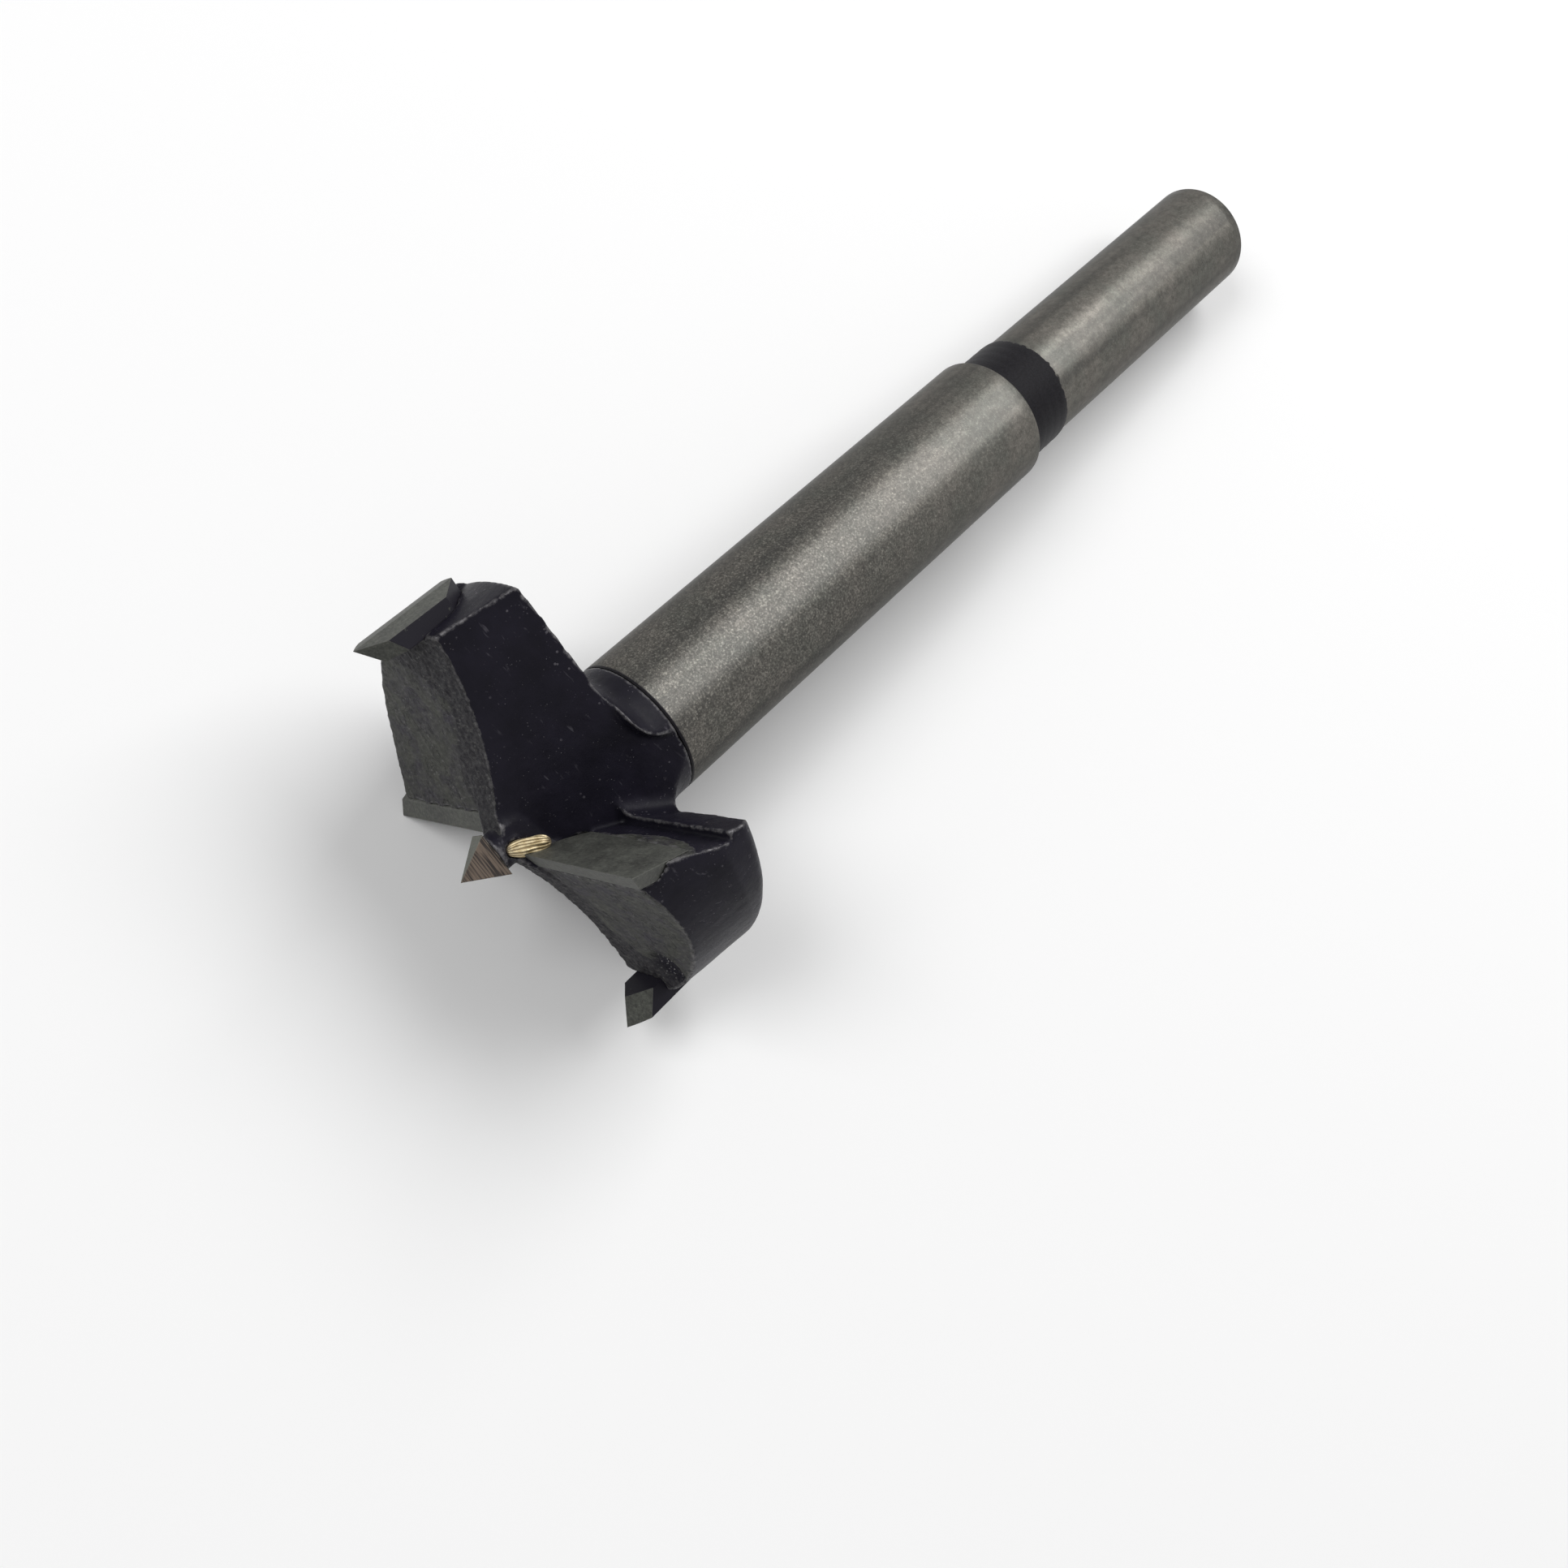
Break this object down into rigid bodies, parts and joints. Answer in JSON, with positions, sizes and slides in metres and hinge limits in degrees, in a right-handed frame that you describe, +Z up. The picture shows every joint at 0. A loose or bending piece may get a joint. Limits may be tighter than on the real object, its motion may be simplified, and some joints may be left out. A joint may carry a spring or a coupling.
{
  "type": "forstner bit",
  "caption": "Carbide tipped forstner bit for boring hinge cups: blackened winged head with spur and lifter plates round a centre point, on a stepped round steel shank, lying on its side.",
  "frame": {"origin": "middle of the bounding box at the height of the surface the tool lies on", "axes": "+X towards the shank's end, seen from above; +Z up; the tool's axis lies in the XZ plane and falls about 5 degrees towards the shank's end, because the head lies on its two wings"},
  "size_m": [0.1, 0.0336, 0.0262],
  "materials": {
    "blackened_steel": "black painted head, glossy, over cast and milled steel",
    "tungsten_carbide": "ground, dull olive grey",
    "bare_steel": "ground facets with a brown tint",
    "brass_braze": "as flowed, ridged"
  },
  "bodies": {
    "root": {"body": "blackened_steel", "lifter_a": "tungsten_carbide", "lifter_b": "tungsten_carbide", "spur_a": "tungsten_carbide", "spur_b": "tungsten_carbide", "centre_point": "bare_steel", "braze_fillet": "brass_braze"}
  },
  "joints": []
}
